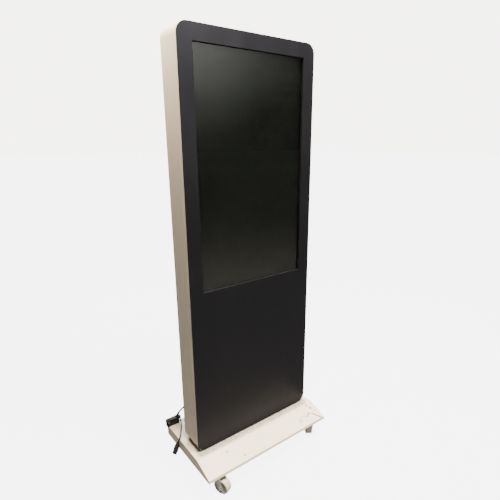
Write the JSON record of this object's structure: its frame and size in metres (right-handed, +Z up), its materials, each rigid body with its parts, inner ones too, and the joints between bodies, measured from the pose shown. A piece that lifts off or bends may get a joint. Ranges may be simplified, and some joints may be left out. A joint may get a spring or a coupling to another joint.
{
  "type": "touchscreen kiosk",
  "caption": "Free-standing information kiosk: slim upright cabinet with a tall portrait touchscreen, on a wide folded plinth that rolls on swivel casters.",
  "frame": {"origin": "on the floor, below the centre of the base's plan outline", "axes": "+X to the right along the screen, +Y to the back, +Z up; the screen faces -Y"},
  "size_m": [0.7479, 0.4487, 1.923],
  "materials": {
    "cream_paint": "satin powder coat",
    "black_paint": "fine matt powder coat",
    "galvanised_steel": "galvanised, dull",
    "zinc_steel": "bright zinc plate",
    "raw_aluminium": "satin",
    "touch_glass": "polished",
    "display_cell": "gloss",
    "black_plastic": "moulded, fine texture",
    "grey_plastic": "moulded",
    "foam": "closed-cell foam",
    "tyre_rubber": "soft, matt",
    "cord_rubber": "satin jacket",
    "circuit_board": "solder mask",
    "chrome_trim": "bright"
  },
  "bodies": {
    "cabinet": {"adapter_boots": "cord_rubber", "backlight_tray": "raw_aluminium", "base_bolts": "zinc_steel", "base_cover": "cream_paint", "base_plate": "galvanised_steel", "base_rails": "galvanised_steel", "cabinet_shell": "cream_paint", "cable_gland": "black_plastic", "caster_bolts": "zinc_steel", "caster_plates": "zinc_steel", "cord_adapter_to_inlet": "cord_rubber", "cord_cabinet_to_adapter": "cord_rubber", "display_controller_board": "circuit_board", "display_crossbars": "galvanised_steel", "equipment_plate": "galvanised_steel", "fan_housings": "black_plastic", "foot_plate": "galvanised_steel", "front_frame": "cream_paint", "front_panel": "black_paint", "glass_gasket": "foam", "hinge_frame_leaves": "zinc_steel", "hinge_pins": "zinc_steel", "inlet_connector": "black_plastic", "inlet_pins": "zinc_steel", "inner_uprights": "galvanised_steel", "lcd_bezel": "black_paint", "lcd_cell": "display_cell", "media_player": "raw_aluminium", "power_adapter": "black_plastic", "power_supply": "raw_aluminium", "rear_cover_screws": "zinc_steel", "rear_lower_cover": "cream_paint", "rear_transoms": "cream_paint", "rear_upper_cover": "cream_paint", "speakers": "black_plastic", "switch_housing": "black_plastic", "touch_glass": "touch_glass", "touch_sensor_frame": "black_plastic"},
    "door": {"rear_door": "cream_paint", "hinge_door_leaves": "zinc_steel", "lock_housing": "chrome_trim"},
    "lock": {"lock_barrel": "chrome_trim", "lock_cam": "zinc_steel"},
    "switch": {"switch_rocker": "black_plastic"},
    "fan_left": {"fan_rotor_left": "black_plastic"},
    "fan_right": {"fan_rotor_right": "black_plastic"},
    "fork_front_left": {"caster_fork_front_left": "zinc_steel"},
    "wheel_front_left": {"caster_hub_front_left": "grey_plastic", "caster_tyre_front_left": "tyre_rubber"},
    "fork_front_right": {"caster_fork_front_right": "zinc_steel"},
    "wheel_front_right": {"caster_hub_front_right": "grey_plastic", "caster_tyre_front_right": "tyre_rubber"},
    "fork_rear_left": {"caster_fork_rear_left": "zinc_steel"},
    "wheel_rear_left": {"caster_hub_rear_left": "grey_plastic", "caster_tyre_rear_left": "tyre_rubber"},
    "pedal_rear_left": {"brake_pedal_rear_left": "zinc_steel"},
    "fork_rear_right": {"caster_fork_rear_right": "zinc_steel"},
    "wheel_rear_right": {"caster_hub_rear_right": "grey_plastic", "caster_tyre_rear_right": "tyre_rubber"},
    "pedal_rear_right": {"brake_pedal_rear_right": "zinc_steel"}
  },
  "joints": [
    {"name": "door_hinge", "type": "hinge", "parent": "cabinet", "child": "door", "pos_m": [0.304, 0.0626, 0.71], "axis": [0, 0, -1], "range_deg": [0, 110]},
    {"name": "lock_turn", "type": "hinge", "parent": "door", "child": "lock", "pos_m": [-0.267, 0.0586, 0.71], "axis": [0, 1, 0], "range_deg": [0, 90]},
    {"name": "switch_rock", "type": "hinge", "parent": "cabinet", "child": "switch", "pos_m": [-0.185, 0.0566, 0.358], "axis": [1, 0, 0], "range_deg": [0, 16]},
    {"name": "fan_spin_left", "type": "hinge", "parent": "cabinet", "child": "fan_left", "pos_m": [-0.06, 0.045, 1.783], "axis": [0, 1, 0], "continuous": true},
    {"name": "fan_spin_right", "type": "hinge", "parent": "cabinet", "child": "fan_right", "pos_m": [0.06, 0.045, 1.783], "axis": [0, 1, 0], "continuous": true},
    {"name": "swivel_front_left", "type": "hinge", "parent": "cabinet", "child": "fork_front_left", "pos_m": [-0.286, -0.1585, 0.092], "axis": [0, 0, 1], "continuous": true},
    {"name": "roll_front_left", "type": "hinge", "parent": "fork_front_left", "child": "wheel_front_left", "pos_m": [-0.27483, -0.18418, 0.0375], "axis": [0.9171, 0.3987, 0], "continuous": true},
    {"name": "swivel_front_right", "type": "hinge", "parent": "cabinet", "child": "fork_front_right", "pos_m": [0.286, -0.1585, 0.092], "axis": [0, 0, 1], "continuous": true},
    {"name": "roll_front_right", "type": "hinge", "parent": "fork_front_right", "child": "wheel_front_right", "pos_m": [0.30324, -0.13644, 0.0375], "axis": [-0.788, 0.6157, 0], "continuous": true},
    {"name": "swivel_rear_left", "type": "hinge", "parent": "cabinet", "child": "fork_rear_left", "pos_m": [-0.286, 0.1585, 0.092], "axis": [0, 0, 1], "continuous": true},
    {"name": "roll_rear_left", "type": "hinge", "parent": "fork_rear_left", "child": "wheel_rear_left", "pos_m": [-0.29134, 0.18599, 0.0375], "axis": [-0.9816, -0.1908, 0], "continuous": true},
    {"name": "brake_rear_left", "type": "hinge", "parent": "fork_rear_left", "child": "pedal_rear_left", "pos_m": [-0.29287, 0.19384, 0.084], "axis": [-0.9816, -0.1908, 0], "range_deg": [0, 18]},
    {"name": "swivel_rear_right", "type": "hinge", "parent": "cabinet", "child": "fork_rear_right", "pos_m": [0.286, 0.1585, 0.092], "axis": [0, 0, 1], "continuous": true},
    {"name": "roll_rear_right", "type": "hinge", "parent": "fork_rear_right", "child": "wheel_rear_right", "pos_m": [0.28066, 0.18599, 0.0375], "axis": [-0.9816, -0.1908, 0], "continuous": true},
    {"name": "brake_rear_right", "type": "hinge", "parent": "fork_rear_right", "child": "pedal_rear_right", "pos_m": [0.27913, 0.19384, 0.084], "axis": [-0.9816, -0.1908, 0], "range_deg": [0, 18]}
  ]
}
